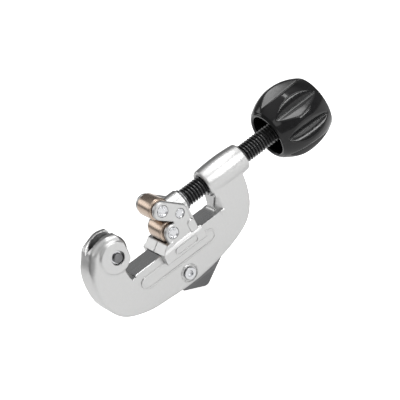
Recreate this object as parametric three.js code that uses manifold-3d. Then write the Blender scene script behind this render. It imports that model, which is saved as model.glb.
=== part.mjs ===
// Screw-feed tubing cutter for tube up to 25.4 mm. Millimetres, +Z up.
// +X runs along the feed screw towards the knob, +Y is the thickness of the tool.
// While the pieces are made, the cutter wheel's axis is the Y axis: X = 0, Z = 0.
import * as THREE from "three";
import { mergeVertices } from "three/addons/utils/BufferGeometryUtils.js";
import loadManifold from "manifold-3d";

const library = await loadManifold();
library.setup();

// ---- Driving dimensions -------------------------------------------------
const runningGap = 0.3; // between pieces that touch or turn on each other
const pinFit = 0.1; // round a pin that is held fast in its hole
const overcut = 1; // how far a cutter passes through the face it opens
const beyond = 60; // half size of a cutter that is larger than the piece it cuts

const tubeRadius = 12.7; // largest tube that the tool takes
const tubeOverRail = 1.1;
const rollerOverRail = 1.8; // lower roller clear of the rail that it runs over

const wheelRadius = 9.25;
const wheelHubHalf = 2.1;
const wheelHubRadius = 4.6;
const wheelDiscHalf = 1.1;
const wheelPinRadius = 2.4;
const wheelPinProud = 0.7;
const pinHeadRadius = 3.2;
const pinHeadLength = 1.3;
const clipHalf = 0.35;
const clipOuterRadius = 3.15;
const clipGrooveRadius = 1.9;
const clipInset = 1.3; // clip centre below the boss face
const clipMouth = 0.45; // half angle of the clip's gap, radians

const bodyHalf = 6.5;
const edgeRadius = 2;
const hookRim = 2.2; // frame beyond the wheel at the tip of the hook
const backWall = 5.4;
const throatFace = 6.2; // wall of the hook on the tube's side
const wheelBossRadius = 7.6;
const wheelBossX = -0.7; // the boss is a little off the wheel axis
const wheelBossZ = 0.4;
const wheelBossTrim = 0.6; // its flat side, short of the throat face
const wheelBossRaise = 0.8;
const bossBoreDepth = 2.6;
const wheelSlotHalf = wheelHubHalf + 0.4;

const spineDepth = 23.4; // rail top to the lowest point of the spine
const railStart = 3.7;
const reliefDepth = 1;
const railBandHeight = 2.9;
const railBandSink = 0.2;
const badgeRaise = 0.4;
const badgeHalfHeight = 3.3;
const postHalfFace = 3.3; // half width left flat on the post's inner face

const barrelLength = 24.7;
const barrelEndRadius = 6.95;
const barrelMidRadius = 7.7;
const postDepth = 19.8;

const rollerRadius = 5.6;
const rollerHalf = 5.9;
const rollerSpacing = 1.6; // gap between the two rollers
const rollerPinRadius = 2.2;
const rollerPinHeadRadius = 2.9;
const rivetRadius = 1.5;
const rivetHeadRadius = 2.4;
const rivetOffset = 7.4; // behind the roller axes
const headThickness = 1.1;
const headProud = 0.2;

const slideRest = 29.5; // X of the roller axes as the tool is shown
const slideNose = 9.9; // slide ahead of the roller axes
const slideTail = 14.1; // slide behind the roller axes
const slideWidthHalf = 10;
const cheekOuter = 8.8;
const cheekInner = rollerHalf + runningGap;
const cheekLobe = 4.8;
const splitHalf = 0.1;
const skirtDrop = 4.7; // skirt below the rail top
const shoulderRise = 0.9; // top of the skirt's wall above the rail
const socketRadius = 6.2;
const noseHeight = 3.5;
const noseFootLift = 0.7; // foot of the sloping front above the slide's underside
const nosePitch = 0.78;
const lugOffset = 10.3; // behind the roller axes
const lugRadius = 2.2;
const lugHeight = 3;
const labelHalfHeight = 1.9;
const labelDrop = 1.7; // label centre below the rail top

const screwRadius = 4.7625;
const screwPitch = 1.5875;
const threadDepth = 0.95;
const threadSteps = 10; // facets to a turn
const screwNeckRadius = 2.9;
const screwHeadRadius = 4.2;
const screwHeadLength = 2;
const washerThickness = 0.9;
const washerRadius = 5.4;
const shankRadius = 4;

const knobLength = 30.5;
const knobFrontRadius = 12.5;
const knobRadius = 18.2;
const knobBackRadius = 14.6;
const knobWall = 2;
const knobMouthRadius = 10.5;
const knobCavityDepth = 18;
const knobHubRadius = 6.6;
const knobHubInset = 6.5;
const knobRibs = 6;
const knobRibHalf = 0.9;
const knobFlutes = 8;
const firstFlute = 2; // degrees from +Y with the tool as shown
const fluteDepth = 2.7;
const fluteHalfWidth = 3.7;
const knobBarrelGap = 2.2; // knob to barrel with the tool closed right up
const crossPinRadius = 1.25;

const bladeHalf = 1.2;
const bladeEye = 4.8;
const bladeRivetRadius = 2.2;
const bladeRivetHead = 3;
const bladeRivetBore = 1.5;
const bladeRivetProud = 0.5;
const pivotBossRadius = 4.6;
const pivotBossRaise = 0.5;
const bladePivotDrop = 17.1; // pivot below the rail top
const bladePivotX = 28.6;
const springWasherHalf = 0.2;

// ---- Worked out from them -----------------------------------------------
const rollerFoot = 2 * rollerRadius + rollerSpacing / 2;
const railTop = -Math.max(tubeRadius + tubeOverRail, rollerFoot + rollerOverRail);
const spineBottom = railTop - spineDepth;
const hookRadius = wheelRadius + hookRim;
const backX = -(hookRadius + backWall);
const rollerRise = rollerRadius + rollerSpacing / 2;
const rollerReach = tubeRadius + rollerRadius;
const slideOpen = wheelRadius + tubeRadius + Math.sqrt(rollerReach ** 2 - rollerRise ** 2);
const slideShut = Math.sqrt((wheelRadius + rollerRadius + 1) ** 2 - rollerRise ** 2);
const travelShut = slideRest - slideShut;
const railEnd = slideOpen + slideTail + runningGap;
const barrelStart = railEnd + 3.1;
const barrelEnd = barrelStart + barrelLength;
const postBack = barrelStart + postDepth;
const bossFace = bodyHalf + wheelBossRaise;
const bladePivotZ = railTop - bladePivotDrop;
const bladeSlotHalf = bladeHalf + 2 * springWasherHalf + runningGap;
const slideTop = railTop + runningGap; // underside of the slide on the rail
const guideHalf = bodyHalf - railBandSink + runningGap;
const skirtInner = bodyHalf + badgeRaise + runningGap;
const socketEnd = slideTail - 0.2;
const screwHeadStart = rivetOffset + rivetRadius + 2 * runningGap;
const threadStart = slideRest + socketEnd + washerThickness + 2 * runningGap;
const knobStart = barrelEnd + travelShut + knobBarrelGap;
const hubStart = knobStart + knobHubInset;
const threadEnd = hubStart - 0.5;
const shankEnd = knobStart + knobLength - 4.5;
const crossPinX = hubStart + 6;

// ---- Solids ---------------------------------------------------------------
function signedVolume(points, triangles) {
  let total = 0;
  const corner = (i) => new THREE.Vector3().fromArray(points, 3 * triangles[i]);
  for (let i = 0; i < triangles.length; i += 3) {
    total += corner(i).dot(corner(i + 1).cross(corner(i + 2)));
  }
  return total / 6;
}

function solidFrom(geometry) {
  const bare = geometry.clone();
  bare.deleteAttribute("normal");
  bare.deleteAttribute("uv");
  const merged = mergeVertices(bare, 1e-4);
  const points = Float32Array.from(merged.attributes.position.array);
  const triangles = [];
  for (let i = 0; i < merged.index.count; i += 3) {
    const [a, b, c] = merged.index.array.slice(i, i + 3);
    if (a !== b && b !== c && c !== a) triangles.push(a, b, c);
  }
  if (signedVolume(points, triangles) < 0) triangles.reverse();
  const mesh = new library.Mesh({
    numProp: 3,
    vertProperties: points,
    triVerts: Uint32Array.from(triangles),
  });
  return new library.Manifold(mesh);
}

function geometryFrom(solid) {
  const mesh = solid.getMesh();
  const geometry = new THREE.BufferGeometry();
  geometry.setAttribute("position", new THREE.BufferAttribute(mesh.vertProperties, 3));
  geometry.setIndex(new THREE.BufferAttribute(mesh.triVerts, 1));
  const faceted = geometry.toNonIndexed();
  faceted.computeVertexNormals();
  return faceted;
}

// A side-view outline in X and Z, given its thickness from one Y to another.
function plate(shape, fromY, toY, edge = 0, curveSegments = 3) {
  const geometry = new THREE.ExtrudeGeometry(shape, {
    depth: toY - fromY - 2 * edge,
    bevelEnabled: edge > 0,
    bevelThickness: edge,
    bevelSize: edge,
    bevelOffset: -edge,
    bevelSegments: 3,
    curveSegments,
  });
  geometry.rotateX(Math.PI / 2);
  geometry.translate(0, toY - edge, 0);
  return solidFrom(geometry);
}

function outline(points) {
  return new THREE.Shape(points.map(([x, z]) => new THREE.Vector2(x, z)));
}

// A turned solid; the profile is [radius, distance along the axis] from one end to the other.
function turned(profile, segments, axis) {
  const points = profile.map(([radius, along]) => new THREE.Vector2(radius, along));
  const geometry = new THREE.LatheGeometry(points, segments);
  if (axis === "x") geometry.rotateZ(-Math.PI / 2);
  return solidFrom(geometry);
}

function rodX(radius, fromX, toX, segments = 28) {
  return turned([[0, fromX], [radius, fromX], [radius, toX], [0, toX]], segments, "x");
}

function rodY(radius, fromY, toY, x = 0, z = 0, segments = 24) {
  const rod = turned([[0, fromY], [radius, fromY], [radius, toY], [0, toY]], segments, "y");
  return rod.translate([x, 0, z]);
}

function block(fromX, toX, fromY, toY, fromZ, toZ) {
  const geometry = new THREE.BoxGeometry(toX - fromX, toY - fromY, toZ - fromZ);
  geometry.translate((fromX + toX) / 2, (fromY + toY) / 2, (fromZ + toZ) / 2);
  return solidFrom(geometry);
}

// The outline that wraps two discs, like a belt round two pulleys.
function link(ax, az, ar, bx, bz, br) {
  const heading = Math.atan2(bz - az, bx - ax);
  const lean = Math.acos((ar - br) / Math.hypot(bx - ax, bz - az));
  const shape = new THREE.Shape();
  shape.absarc(ax, az, ar, heading + lean, heading - lean + 2 * Math.PI, false);
  shape.absarc(bx, bz, br, heading - lean, heading + lean, false);
  shape.closePath();
  return shape;
}

function joined(solids) {
  return solids.reduce((sum, solid) => sum.add(solid));
}

function mirroredY(solid) {
  return solid.mirror([0, 1, 0]);
}

function bothSides(solid) {
  return solid.add(mirroredY(solid));
}

// ---- Frame ----------------------------------------------------------------
// Back of the hook, spine and back of the post, from the hook's tip to the barrel.
function outerPoints() {
  return [
    [0.41 * hookRadius, 0.91 * hookRadius],
    [-1, hookRadius],
    [2.45 - hookRadius, 0.82 * hookRadius],
    [backX + 4.6, hookRadius - 6.05],
    [backX + 1.4, -1],
    [backX, railTop + 2.8],
    [backX + 1.4, railTop - 7],
    [backX + 7.2, spineBottom + 7.6],
    [2, spineBottom + 2.4],
    [14.4, spineBottom + 0.8],
    [bladePivotX, spineBottom],
    [railEnd - 12, spineBottom + 1],
    [railEnd + 2, spineBottom + 3.9],
    [postBack - 9.8, spineBottom + 8.6],
    [postBack - 3.7, spineBottom + 15.7],
    [postBack - 0.9, railTop + 0.8],
    [postBack, -5],
  ].map(([x, z]) => new THREE.Vector2(x, z));
}

function sideOutline() {
  const outer = outerPoints();
  const shape = new THREE.Shape();
  shape.moveTo(outer[0].x, outer[0].y);
  shape.splineThru(outer.slice(1));
  shape.lineTo(postBack, 0);
  shape.lineTo(barrelStart + 1.5, 0);
  shape.lineTo(barrelStart + 1, -barrelEndRadius);
  shape.lineTo(railEnd + 2.6, railTop + 2.4);
  shape.quadraticCurveTo(railEnd + 2.2, railTop, railEnd, railTop);
  shape.lineTo(railStart, railTop);
  shape.lineTo(railStart, railTop - reliefDepth);
  shape.lineTo(railStart - 1.9, railTop - reliefDepth);
  shape.quadraticCurveTo(0.9, railTop + 0.6, 0.9, -8.6);
  shape.quadraticCurveTo(0.9, -6.4, 2.6, -5.4);
  shape.quadraticCurveTo(throatFace, -3.4, throatFace, 0);
  shape.lineTo(throatFace, 4);
  shape.lineTo(outer[0].x, outer[0].y);
  return shape;
}

// The same outer edge closed high over the throat, so that only it is rounded.
function roundedOuter() {
  const outer = outerPoints();
  const shape = new THREE.Shape();
  shape.moveTo(outer[0].x, outer[0].y);
  shape.splineThru(outer.slice(1));
  shape.lineTo(postBack, 4 * hookRadius);
  shape.lineTo(throatFace + 3, 4 * hookRadius);
  return plate(shape, -bodyHalf, bodyHalf, edgeRadius);
}

function postEdgeCutter() {
  const leg = bodyHalf - postHalfFace;
  const face = railEnd + 2.6;
  const top = -barrelEndRadius;
  const shape = outline([[face - leg, -leg], [face + leg, 0], [face - leg, leg]]);
  const geometry = new THREE.ExtrudeGeometry(shape, { depth: top - railTop, bevelEnabled: false });
  geometry.translate(0, bodyHalf, railTop);
  return solidFrom(geometry);
}

function barrel() {
  const middle = (barrelStart + barrelEnd) / 2;
  const lip = 1.2;
  const round = 1;
  return turned([
    [0, barrelStart],
    [barrelEndRadius - round, barrelStart],
    [barrelEndRadius, barrelStart + round],
    [barrelEndRadius + 0.55, barrelStart + 6],
    [barrelMidRadius, middle],
    [barrelEndRadius + 0.55, barrelEnd - 6],
    [barrelEndRadius, barrelEnd - lip],
    [barrelEndRadius - round, barrelEnd],
    [0, barrelEnd],
  ], 32, "x");
}

function wheelSlot() {
  const room = wheelRadius + 1.3;
  const mouth = outline([
    [backX + 3, 8.4],
    [-0.82 * room, -0.57 * room],
    [throatFace + 4, -0.57 * room],
    [throatFace + 4, 2 * hookRadius],
    [backX, 2 * hookRadius],
  ]);
  const round = rodY(room, -wheelSlotHalf, wheelSlotHalf);
  return round.add(plate(mouth, -wheelSlotHalf, wheelSlotHalf));
}

function bladeSlot() {
  const room = bladeSweep(bladeCorner()) + 2 * runningGap;
  const heelRoom = bladeSweep(bladeHeel()) + bladeHeel().radius;
  const shape = outline([
    [bladePivotX - heelRoom, spineBottom - overcut],
    [bladePivotX - heelRoom, bladePivotZ - 4],
    [bladePivotX - room, bladePivotZ + 3],
    [bladePivotX, bladePivotZ + bladeEye + 2 * runningGap],
    [railEnd + 5.5, spineBottom + 5.6],
    [railEnd + 5.5, spineBottom - overcut],
  ]);
  const pocket = rodY(room, -bladeSlotHalf, bladeSlotHalf, bladePivotX, bladePivotZ, 40);
  return pocket.add(plate(shape, -bladeSlotHalf, bladeSlotHalf));
}

function badge(fromX, toX, z, halfHeight, face, raise) {
  const shape = link(fromX + halfHeight, z, halfHeight, toX - halfHeight, z, halfHeight);
  return bothSides(plate(shape, -face - raise, -face + overcut));
}

function railBand() {
  const inner = bodyHalf - railBandSink;
  const band = block(
    railStart + 1.3, railEnd + 3.4, -bodyHalf - overcut, -inner,
    railTop - railBandHeight, railTop + overcut,
  );
  return bothSides(band);
}

function makeFrame() {
  const bossHole = wheelPinRadius + runningGap;
  const counterbore = pinHeadRadius + runningGap;
  const raised = [
    plate(sideOutline(), -bodyHalf, bodyHalf).intersect(roundedOuter()),
    barrel(),
    rodY(wheelBossRadius, -bossFace, bossFace, wheelBossX, wheelBossZ, 40).subtract(
      block(throatFace - wheelBossTrim, beyond, -beyond, beyond, -beyond, beyond),
    ),
    badge(railStart + 0.5, railEnd - 4, railTop - 7.1, badgeHalfHeight, bodyHalf, badgeRaise),
    bothSides(rodY(pivotBossRadius, -bodyHalf - pivotBossRaise, 0, bladePivotX, bladePivotZ)),
  ];
  const pivotBore = bladeRivetHead + runningGap;
  const pivotFace = bodyHalf + pivotBossRaise;
  const cut = [
    wheelSlot(),
    rodY(bossHole, -2 * bossFace, 2 * bossFace),
    rodY(counterbore, -2 * bossFace, -bossFace + bossBoreDepth),
    rodY(counterbore, bossFace - pinHeadLength - runningGap, 2 * bossFace),
    rodX(screwRadius + runningGap, barrelStart - 4, barrelEnd + overcut),
    bothSides(postEdgeCutter()),
    railBand(),
    bladeSlot(),
    rodY(bladeRivetRadius + runningGap, -2 * bodyHalf, 2 * bodyHalf, bladePivotX, bladePivotZ),
    bothSides(rodY(pivotBore, -2 * bodyHalf, headThickness - pivotFace, bladePivotX, bladePivotZ)),
  ];
  return joined(raised).subtract(joined(cut));
}

// ---- Wheel and its pin ------------------------------------------------------
function makeWheel() {
  const bore = wheelPinRadius + runningGap;
  return turned([
    [bore, -wheelHubHalf],
    [wheelHubRadius, -wheelHubHalf],
    [wheelHubRadius + 0.5, -wheelDiscHalf],
    [wheelRadius - 2.2, -wheelDiscHalf],
    [wheelRadius, 0],
    [wheelRadius - 2.2, wheelDiscHalf],
    [wheelHubRadius + 0.5, wheelDiscHalf],
    [wheelHubRadius, wheelHubHalf],
    [bore, wheelHubHalf],
    [bore, -wheelHubHalf],
  ], 36, "y");
}

function makeWheelPin() {
  const clipY = -bossFace + clipInset;
  const groove = clipHalf + 0.05;
  return turned([
    [0, -bossFace - wheelPinProud],
    [wheelPinRadius - 0.3, -bossFace - wheelPinProud],
    [wheelPinRadius, -bossFace - wheelPinProud + 0.3],
    [wheelPinRadius, clipY - groove],
    [clipGrooveRadius - 0.1, clipY - groove],
    [clipGrooveRadius - 0.1, clipY + groove],
    [wheelPinRadius, clipY + groove],
    [wheelPinRadius, bossFace - pinHeadLength],
    [pinHeadRadius, bossFace - pinHeadLength],
    [pinHeadRadius, bossFace + headProud],
    [0, bossFace + headProud],
  ], 24, "y");
}

function makeClip() {
  const shape = new THREE.Shape();
  shape.absarc(0, 0, clipOuterRadius, clipMouth, 2 * Math.PI - clipMouth, false);
  shape.absarc(0, 0, clipGrooveRadius + 0.1, 2 * Math.PI - clipMouth, clipMouth, true);
  shape.closePath();
  const clipY = -bossFace + clipInset;
  return plate(shape, clipY - clipHalf, clipY + clipHalf, 0, 12);
}

// ---- Slide, built about the roller axes ------------------------------------
function cheek() {
  const top = link(0, rollerRise, cheekLobe, rivetOffset, 0, cheekLobe - 0.2);
  const rear = link(rivetOffset, 0, cheekLobe - 0.2, rivetOffset - 1, slideTop + 4, 5);
  const front = link(0.2, -rollerRise, cheekLobe - 0.4, 1.4, slideTop + 4, 5.6);
  const outlines = [top, rear, front];
  return joined(outlines.map((shape) => plate(shape, -cheekOuter, -cheekInner, 0, 9)));
}

// The sloping front of the slide, from just over the rail up and back under the rollers.
function noseSlope() {
  const foot = { x: -slideNose + 0.6, z: slideTop + noseFootLift };
  const z = (x) => foot.z + nosePitch * (x - foot.x);
  return outline([
    [foot.x - 4, z(foot.x - 4)],
    [-2, z(-2)],
    [-2, 20],
    [foot.x - 4, 20],
  ]);
}

function skirt() {
  const bevel = slideWidthHalf - cheekOuter;
  const shoulder = railTop + shoulderRise;
  const guideFoot = railTop - railBandHeight - runningGap;
  const section = outline([
    [splitHalf, slideTop],
    [guideHalf, slideTop],
    [guideHalf, guideFoot],
    [skirtInner, guideFoot],
    [skirtInner, railTop - skirtDrop],
    [slideWidthHalf - 0.5, railTop - skirtDrop],
    [slideWidthHalf, railTop - skirtDrop + 0.5],
    [slideWidthHalf, shoulder],
    [cheekOuter - 0.1, shoulder + bevel + 0.1],
    [cheekInner, shoulder + bevel + 0.1],
    [splitHalf, shoulder + bevel + 0.1],
  ]);
  const length = slideNose + slideTail;
  const geometry = new THREE.ExtrudeGeometry(section, { depth: length, bevelEnabled: false });
  geometry.rotateX(Math.PI / 2);
  geometry.rotateZ(-Math.PI / 2);
  geometry.translate(slideTail, 0, 0);
  return solidFrom(geometry);
}

function core() {
  const behind = rivetOffset - 3;
  const nose = block(-slideNose, -2, -slideWidthHalf + 1, -splitHalf, slideTop, slideTop + noseHeight);
  const saddle = block(behind, socketEnd - 0.6, -cheekInner - 0.5, -splitHalf, slideTop, 0);
  const socket = rodX(socketRadius, behind, socketEnd, 36);
  const nearSide = block(-beyond, beyond, -beyond, -splitHalf, -beyond, beyond);
  return joined([nose, saddle, socket.intersect(nearSide)]);
}

function makeSlideHalf(openingHead) {
  const lugFoot = slideTop + lugRadius + 0.5;
  const lug = link(lugOffset, lugFoot, lugRadius, lugOffset, lugFoot + lugHeight, lugRadius);
  const labelZ = railTop - labelDrop;
  const label = link(-3.8, labelZ, labelHalfHeight, 9.9, labelZ, labelHalfHeight);
  const base = skirt().add(core()).subtract(plate(noseSlope(), -2 * slideWidthHalf, overcut));
  const solid = joined([
    cheek(),
    base,
    plate(lug, -cheekOuter - 0.6, -cheekInner, 0.5, 8),
    plate(label, -slideWidthHalf - badgeRaise, -slideWidthHalf + overcut, 0, 8),
  ]);
  const rollerRoom = rollerRadius + 2 * runningGap;
  const cut = [block(-2 * slideNose, 2 * slideTail, -guideHalf, overcut, 2 * railTop, slideTop)];
  for (const z of [rollerRise, -rollerRise]) {
    cut.push(rodY(rollerRoom, -cheekInner, overcut, 0, z, 40));
    cut.push(rodY(rollerPinRadius + pinFit, -beyond, overcut, 0, z));
    cut.push(rodY(rollerPinHeadRadius + pinFit, -beyond, -openingHead, 0, z));
  }
  cut.push(rodY(rivetRadius + pinFit, -beyond, overcut, rivetOffset, 0));
  cut.push(rodY(rivetHeadRadius + pinFit, -beyond, -openingHead, rivetOffset, 0));
  cut.push(rodX(screwHeadRadius + runningGap, screwHeadStart - runningGap,
    screwHeadStart + screwHeadLength + runningGap));
  cut.push(rodX(screwNeckRadius + runningGap, screwHeadStart, socketEnd + overcut));
  return solid.subtract(joined(cut)).translate([slideRest, 0, 0]);
}

function makeRoller(z) {
  const bore = rollerPinRadius + runningGap;
  const chamfer = 0.7;
  return turned([
    [bore, -rollerHalf],
    [rollerRadius - chamfer, -rollerHalf],
    [rollerRadius, -rollerHalf + chamfer],
    [rollerRadius, rollerHalf - chamfer],
    [rollerRadius - chamfer, rollerHalf],
    [bore, rollerHalf],
    [bore, -rollerHalf],
  ], 30, "y").translate([slideRest, 0, z]);
}

// A pin with a flush head spread into each cheek.
function makeStakedPin(radius, headRadius, x, z) {
  const end = cheekOuter + headProud;
  const neck = cheekOuter - headThickness + 0.1;
  return turned([
    [0, -end],
    [headRadius - 0.2, -end],
    [headRadius, -end + 0.2],
    [headRadius, -neck],
    [radius, -neck],
    [radius, neck],
    [headRadius, neck],
    [headRadius, end - 0.2],
    [headRadius - 0.2, end],
    [0, end],
  ], 20, "y").translate([x, 0, z]);
}

// ---- Feed screw and knob ----------------------------------------------------
// One continuous helical ridge: four points to a pitch, wound round the axis.
function thread(fromX, toX) {
  const root = screwRadius - threadDepth;
  const section = [[root, 0], [root, 0.12], [screwRadius, 0.46], [screwRadius, 0.66]];
  const turns = Math.ceil((toX - fromX) / screwPitch) + 3;
  const columns = turns * threadSteps + 1;
  const points = [];
  for (let column = 0; column < columns + threadSteps; column += 1) {
    const angle = (2 * Math.PI * column) / threadSteps;
    for (const [radius, share] of section) {
      const x = fromX + screwPitch * (column / threadSteps + share - 2);
      points.push(x, radius * Math.cos(angle), radius * Math.sin(angle));
    }
  }
  const size = section.length;
  const at = (column, row) => size * (column + threadSteps * Math.floor(row / size)) + (row % size);
  const triangles = [];
  for (let column = 0; column < columns - 1; column += 1) {
    for (let row = 0; row < size; row += 1) {
      const [a, b] = [at(column, row), at(column, row + 1)];
      const [c, d] = [at(column + 1, row + 1), at(column + 1, row)];
      triangles.push(a, b, c, a, c, d);
    }
  }
  const last = columns - 1;
  const startRim = [];
  for (let step = 0; step <= threadSteps; step += 1) startRim.push(at(step, 0));
  for (let row = size - 1; row > 0; row -= 1) startRim.push(at(0, row));
  const endRim = [];
  for (let row = 0; row < size; row += 1) endRim.push(at(last, row));
  for (let step = threadSteps; step > 0; step -= 1) endRim.push(at(last + step, 0));
  closeRim(points, triangles, startRim, fromX - 3 * screwPitch);
  closeRim(points, triangles, endRim, toX + 3 * screwPitch);
  const geometry = new THREE.BufferGeometry();
  geometry.setAttribute("position", new THREE.Float32BufferAttribute(points, 3));
  geometry.setIndex(triangles);
  return solidFrom(geometry);
}

// Closes an open end with a fan to a point on the axis.
function closeRim(points, triangles, rim, x) {
  const centre = points.length / 3;
  points.push(x, 0, 0);
  rim.forEach((corner, i) => triangles.push(centre, corner, rim[(i + 1) % rim.length]));
}

function makeFeedScrew() {
  const chamfer = 0.8;
  const envelope = turned([
    [0, threadStart],
    [screwRadius - chamfer, threadStart],
    [screwRadius + 0.1, threadStart + chamfer + 0.1],
    [screwRadius + 0.1, threadEnd - chamfer],
    [screwRadius - chamfer, threadEnd],
    [0, threadEnd],
  ], 24, "x");
  const headStart = slideRest + screwHeadStart;
  return joined([
    thread(threadStart, threadEnd).intersect(envelope),
    rodX(screwHeadRadius, headStart, headStart + screwHeadLength, 24),
    rodX(screwNeckRadius, headStart + 1, threadStart + 1, 24),
    rodX(shankRadius, threadEnd - 1, shankEnd, 24),
  ]).subtract(rodZ(crossPinRadius + pinFit, -2 * shankRadius, 2 * shankRadius, crossPinX));
}

function rodZ(radius, fromZ, toZ, x) {
  const rod = turned([[0, fromZ], [radius, fromZ], [radius, toZ], [0, toZ]], 16, "y");
  return rod.rotate([90, 0, 0]).translate([x, 0, 0]);
}

function makeThrustWasher() {
  const start = slideRest + socketEnd + runningGap;
  const bore = screwNeckRadius + runningGap;
  return turned([
    [bore, start],
    [washerRadius, start],
    [washerRadius, start + washerThickness],
    [bore, start + washerThickness],
    [bore, start],
  ], 32, "x");
}

function knobProfileRadius(share) {
  const widest = 0.51;
  if (share < widest) {
    const t = (widest - share) / widest;
    return knobRadius - (knobRadius - knobFrontRadius) * t ** 2;
  }
  const t = (share - widest) / (1 - widest);
  return knobRadius - (knobRadius - knobBackRadius) * t ** 2.2;
}

function knobShell() {
  const steps = 10;
  const rim = 0.6;
  const dome = 1.6;
  const end = knobStart + knobLength;
  const profile = [[0, knobStart], [knobFrontRadius - rim, knobStart]];
  for (let i = 1; i <= steps; i += 1) {
    const share = i / (steps + 1);
    profile.push([knobProfileRadius(share), knobStart + share * (knobLength - dome)]);
  }
  profile.push([knobBackRadius, end - dome], [0.6 * knobBackRadius, end - 0.4], [0, end]);
  return turned(profile, 40, "x");
}

// A V-shaped prism laid along the knob; the barrel shape makes its cut a long leaf.
function fluteCutter(angle) {
  const floor = knobRadius - fluteDepth;
  const reach = 3;
  const spread = (fluteHalfWidth * (fluteDepth + reach)) / fluteDepth;
  const shape = outline([[-0.5, floor], [0.5, floor], [spread, floor + fluteDepth + reach],
    [-spread, floor + fluteDepth + reach]]);
  const geometry = new THREE.ExtrudeGeometry(shape, { depth: knobLength + 8, bevelEnabled: false });
  geometry.rotateY(Math.PI / 2);
  geometry.translate(knobStart - 4, 0, 0);
  geometry.rotateX(angle);
  return solidFrom(geometry);
}

function knobInside() {
  const floor = knobStart + knobCavityDepth;
  const hub = rodX(knobHubRadius, hubStart, floor + overcut);
  const cavity = turned([
    [0, knobStart - overcut],
    [knobMouthRadius, knobStart - overcut],
    [knobMouthRadius, knobStart + 2],
    [knobRadius - fluteDepth - knobWall, knobStart + 9],
    [knobRadius - fluteDepth - knobWall, floor],
    [0, floor],
  ], 30, "x");
  const ribs = [];
  for (let i = 0; i < knobRibs / 2; i += 1) {
    const rib = block(hubStart + 2, floor + 1, -knobRibHalf, knobRibHalf, -knobRadius, knobRadius);
    ribs.push(rib.rotate([(360 * i) / knobRibs, 0, 0]));
  }
  return cavity.subtract(hub.add(joined(ribs)));
}

function makeKnob() {
  const flutes = [];
  for (let i = 0; i < knobFlutes; i += 1) {
    flutes.push(fluteCutter(THREE.MathUtils.degToRad(firstFlute + (360 * i) / knobFlutes)));
  }
  const bore = rodX(shankRadius + pinFit, knobStart, shankEnd + runningGap, 24);
  const pinHole = rodZ(crossPinRadius + pinFit, -knobHubRadius - 2, knobHubRadius + 2, crossPinX);
  return knobShell().subtract(joined([...flutes, knobInside(), bore, pinHole]));
}

function makeCrossPin() {
  return rodZ(crossPinRadius, -knobHubRadius + 0.3, knobHubRadius - 0.3, crossPinX);
}

// ---- Reamer -------------------------------------------------------------------
function bladeCorner() {
  return { x: bladePivotX - 4.4, z: spineBottom - 3.4 };
}

function bladeHeel() {
  return { x: bladePivotX + 7.4, z: spineBottom - 6.4, radius: 2.4 };
}

// Radius of the circle that a point of the blade runs on as it folds out.
function bladeSweep(point) {
  return Math.hypot(point.x - bladePivotX, point.z - bladePivotZ);
}

function makeBlade() {
  const corner = bladeCorner();
  const heel = bladeHeel();
  const tip = { x: railEnd + 2.5, z: spineBottom + 3.8 };
  const eye = new THREE.Shape();
  eye.absarc(bladePivotX, bladePivotZ, bladeEye, 0, 2 * Math.PI, false);
  const body = outline([
    [bladePivotX + 1, bladePivotZ + bladeEye - 0.1],
    [bladePivotX - bladeEye + 0.2, bladePivotZ - 1],
    [corner.x - 0.3, corner.z + 0.4],
    [corner.x, corner.z],
    [heel.x - 1, heel.z - heel.radius + 0.2],
    [heel.x + 1.2, heel.z - heel.radius + 0.4],
    [tip.x, tip.z],
    [tip.x - 1, tip.z + 0.7],
  ]);
  const solid = plate(body, -bladeHalf, bladeHalf).add(plate(eye, -bladeHalf, bladeHalf, 0, 16));
  const hole = bladeRivetRadius + runningGap;
  return solid.subtract(rodY(hole, -5, 5, bladePivotX, bladePivotZ));
}

function makeBladeRivet() {
  const end = bodyHalf + pivotBossRaise + bladeRivetProud;
  const neck = bodyHalf + pivotBossRaise - headThickness + runningGap;
  return turned([
    [0, -end + 1.4],
    [bladeRivetBore, -end + 1.4],
    [bladeRivetBore, -end],
    [bladeRivetHead, -end],
    [bladeRivetHead, -neck],
    [bladeRivetRadius, -neck],
    [bladeRivetRadius, neck],
    [bladeRivetHead, neck],
    [bladeRivetHead, end],
    [0, end],
  ], 32, "y").translate([bladePivotX, 0, bladePivotZ]);
}

function makeSpringWasher(side) {
  const bore = bladeRivetRadius + runningGap;
  const y = side * (bladeHalf + 0.15 + springWasherHalf);
  return turned([
    [bore, y - springWasherHalf],
    [bladeEye - 0.6, y - springWasherHalf],
    [bladeEye - 0.6, y + springWasherHalf],
    [bore, y + springWasherHalf],
    [bore, y - springWasherHalf],
  ], 24, "y").translate([bladePivotX, 0, bladePivotZ]);
}

// ---- Assembly -------------------------------------------------------------------
const finishes = {
  casting: { color: 0xcfcfcd, roughness: 0.38, metalness: 0.85 },
  hardSteel: { color: 0x5b5757, roughness: 0.35, metalness: 0.9 },
  zincSteel: { color: 0xbfc2c6, roughness: 0.3, metalness: 0.95 },
  bronze: { color: 0xb08a68, roughness: 0.28, metalness: 0.9 },
  blackSteel: { color: 0x17171a, roughness: 0.35, metalness: 0.7 },
  darkBlade: { color: 0x3f3f41, roughness: 0.5, metalness: 0.7 },
  plastic: { color: 0x0b0b0c, roughness: 0.15, metalness: 0 },
};

function piece(name, solid, finish) {
  const mesh = new THREE.Mesh(geometryFrom(solid), new THREE.MeshStandardMaterial(finishes[finish]));
  mesh.name = name;
  return mesh;
}

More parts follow.
